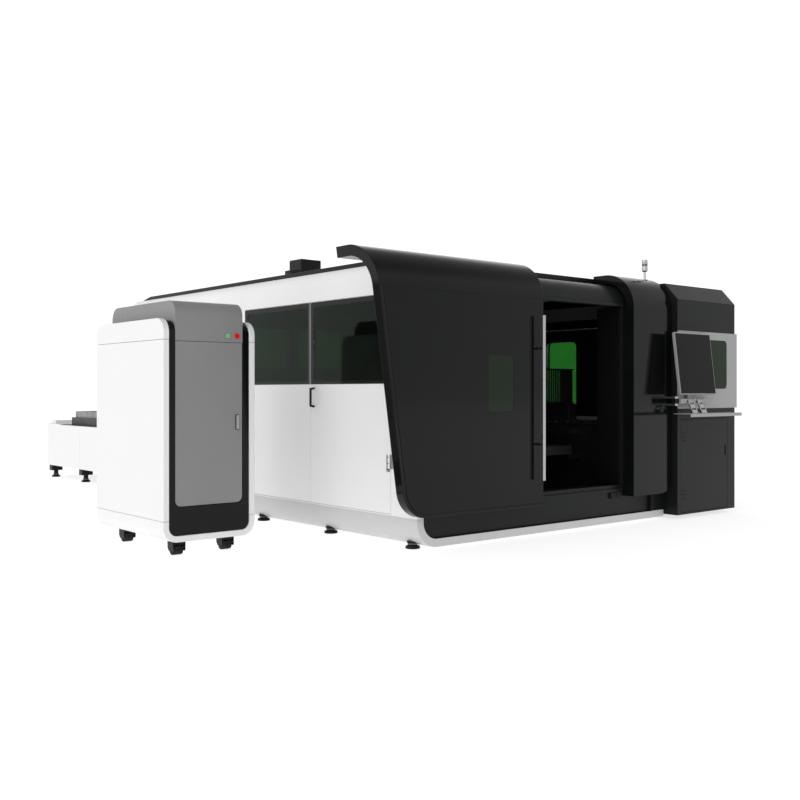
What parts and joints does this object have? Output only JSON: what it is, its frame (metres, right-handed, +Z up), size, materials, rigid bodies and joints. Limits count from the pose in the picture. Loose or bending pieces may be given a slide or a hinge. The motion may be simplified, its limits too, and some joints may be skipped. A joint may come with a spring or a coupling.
{
  "type": "fiber laser cutting machine",
  "caption": "Enclosed sheet-metal laser cutting machine with sliding curved door, gantry, exchange table, control console and wheeled laser source cabinet.",
  "frame": {"origin": "on the floor under the middle of the whole machine's bounding box", "axes": "+X from the source cabinet towards the console, +Y from the front door towards the exchange table, +Z up"},
  "size_m": [5.728, 8.85, 2.474],
  "materials": {
    "white_paint": "satin",
    "black_gloss": "gloss",
    "black_satin": "satin",
    "grey_paint": "satin",
    "bed_paint": "satin",
    "pallet_steel": "matt",
    "silver_metal": "brushed",
    "bright_steel": "ground",
    "dark_glass": "tinted",
    "green_glass": "tinted",
    "rubber_black": "matt",
    "red_plastic": "gloss",
    "green_plastic": "gloss",
    "black_plastic": "matt"
  },
  "bodies": {
    "machine": {"base_pan": "white_paint", "left_wall": "white_paint", "right_wall": "white_paint", "rear_wall": "white_paint", "front_frame": "black_satin", "chamber_windows": "green_glass", "roof_panel": "black_satin", "roof_skylight": "green_glass", "exhaust_box": "black_satin", "door_tracks": "bright_steel", "right_hood": "black_gloss", "lamp_base": "silver_metal", "lamp_lens": "red_plastic", "hinge_fittings": "bright_steel", "machine_feet": "rubber_black", "bed_frame": "bed_paint", "linear_rails": "bright_steel", "pallet_tracks": "pallet_steel", "exchange_frame": "bed_paint", "exchange_panels": "white_paint", "exchange_feet": "rubber_black", "exchange_drive": "bed_paint", "console_cabinet": "black_satin", "console_fascia": "silver_metal", "console_window": "dark_glass", "drive_modules": "grey_paint", "source_covers": "white_paint", "source_bezel": "black_gloss", "source_core": "grey_paint", "green_lamp": "green_plastic", "laser_module": "grey_paint"},
    "sliding_door": {"door_shell": "black_gloss", "door_window": "dark_glass", "door_handle": "silver_metal"},
    "front_side_door": {"side_door_front": "white_paint", "side_glass_front": "dark_glass", "side_door_handle": "black_plastic"},
    "rear_side_door": {"side_door_rear": "white_paint", "side_glass_rear": "dark_glass"},
    "gantry": {"gantry_beam": "bed_paint", "beam_cover": "black_plastic"},
    "head_carriage": {"carriage": "bed_paint"},
    "laser_head": {"cutting_head": "silver_metal"},
    "upper_pallet": {"pallet_upper": "pallet_steel"},
    "lower_pallet": {"pallet_lower": "pallet_steel"},
    "operator_station": {"station_arm": "silver_metal", "keyboard_tray": "silver_metal"},
    "station_monitor": {"monitor": "black_plastic"},
    "console_cabinet_door": {"console_door": "black_satin"},
    "source_cabinet_door": {"source_door": "grey_paint"},
    "source_latch": {"source_lock": "silver_metal"},
    "emergency_button": {"stop_button": "red_plastic"},
    "castor_1": {"castor_fork_1": "black_plastic"},
    "wheel_1": {"castor_wheel_1": "rubber_black"},
    "castor_2": {"castor_fork_2": "black_plastic"},
    "wheel_2": {"castor_wheel_2": "rubber_black"},
    "castor_3": {"castor_fork_3": "black_plastic"},
    "wheel_3": {"castor_wheel_3": "rubber_black"},
    "castor_4": {"castor_fork_4": "black_plastic"},
    "wheel_4": {"castor_wheel_4": "rubber_black"}
  },
  "joints": [
    {"name": "door_slide", "type": "slide", "parent": "machine", "child": "sliding_door", "axis": [1, 0, 0], "range_m": [0, 1.2]},
    {"name": "front_side_hinge", "type": "hinge", "parent": "machine", "child": "front_side_door", "pos_m": [-1.2505, -3.661, 1.1], "axis": [0, 0, 1], "range_deg": [0, 45]},
    {"name": "rear_side_hinge", "type": "hinge", "parent": "machine", "child": "rear_side_door", "pos_m": [-1.2505, -1.479, 1.1], "axis": [0, 0, 1], "range_deg": [-45, 0]},
    {"name": "gantry_travel", "type": "slide", "parent": "machine", "child": "gantry", "axis": [0, 1, 0], "range_m": [-0.5, 2.45]},
    {"name": "carriage_travel", "type": "slide", "parent": "gantry", "child": "head_carriage", "axis": [1, 0, 0], "range_m": [-0.93, 1.13]},
    {"name": "head_lift", "type": "slide", "parent": "head_carriage", "child": "laser_head", "axis": [0, 0, 1], "range_m": [-0.04, 0.12]},
    {"name": "upper_pallet_travel", "type": "slide", "parent": "machine", "child": "upper_pallet", "axis": [0, 1, 0], "range_m": [-4.15, 0]},
    {"name": "lower_pallet_travel", "type": "slide", "parent": "machine", "child": "lower_pallet", "axis": [0, 1, 0], "range_m": [0, 4.15]},
    {"name": "station_swing", "type": "hinge", "parent": "machine", "child": "operator_station", "pos_m": [1.756, -4.195, 1.12], "axis": [0, 0, 1], "range_deg": [-90, 0]},
    {"name": "monitor_tilt", "type": "hinge", "parent": "operator_station", "child": "station_monitor", "pos_m": [2.006, -4.175, 1.475], "axis": [1, 0, 0], "range_deg": [0, 10]},
    {"name": "console_hinge", "type": "hinge", "parent": "machine", "child": "console_cabinet_door", "pos_m": [1.9323, -4.13, 0.5], "axis": [0, 0, 1], "range_deg": [-100, 0]},
    {"name": "source_hinge", "type": "hinge", "parent": "machine", "child": "source_cabinet_door", "pos_m": [-2.7597, -3.033, 1], "axis": [0, 0, 1], "range_deg": [-110, 0]},
    {"name": "latch_turn", "type": "hinge", "parent": "source_cabinet_door", "child": "source_latch", "pos_m": [-2.243, -3.03, 1.023], "axis": [0, 1, 0], "range_deg": [0, 90]},
    {"name": "stop_press", "type": "slide", "parent": "machine", "child": "emergency_button", "axis": [0, 1, 0], "range_m": [0, 0.006], "stiffness_N_per_m": 600},
    {"name": "castor_swivel_1", "type": "hinge", "parent": "machine", "child": "castor_1", "pos_m": [-2.684, -2.925, 0.1], "axis": [0, 0, 1], "continuous": true},
    {"name": "wheel_spin_1", "type": "hinge", "parent": "castor_1", "child": "wheel_1", "pos_m": [-2.684, -2.9, 0.0375], "axis": [1, 0, 0], "continuous": true},
    {"name": "castor_swivel_2", "type": "hinge", "parent": "machine", "child": "castor_2", "pos_m": [-2.274, -2.925, 0.1], "axis": [0, 0, 1], "continuous": true},
    {"name": "wheel_spin_2", "type": "hinge", "parent": "castor_2", "child": "wheel_2", "pos_m": [-2.274, -2.9, 0.0375], "axis": [1, 0, 0], "continuous": true},
    {"name": "castor_swivel_3", "type": "hinge", "parent": "machine", "child": "castor_3", "pos_m": [-2.684, -2.075, 0.1], "axis": [0, 0, 1], "continuous": true},
    {"name": "wheel_spin_3", "type": "hinge", "parent": "castor_3", "child": "wheel_3", "pos_m": [-2.684, -2.05, 0.0375], "axis": [1, 0, 0], "continuous": true},
    {"name": "castor_swivel_4", "type": "hinge", "parent": "machine", "child": "castor_4", "pos_m": [-2.274, -2.075, 0.1], "axis": [0, 0, 1], "continuous": true},
    {"name": "wheel_spin_4", "type": "hinge", "parent": "castor_4", "child": "wheel_4", "pos_m": [-2.274, -2.05, 0.0375], "axis": [1, 0, 0], "continuous": true}
  ],
  "couplings": [
    {"joint": "lower_pallet_travel", "follows": "upper_pallet_travel", "ratio": -1}
  ]
}
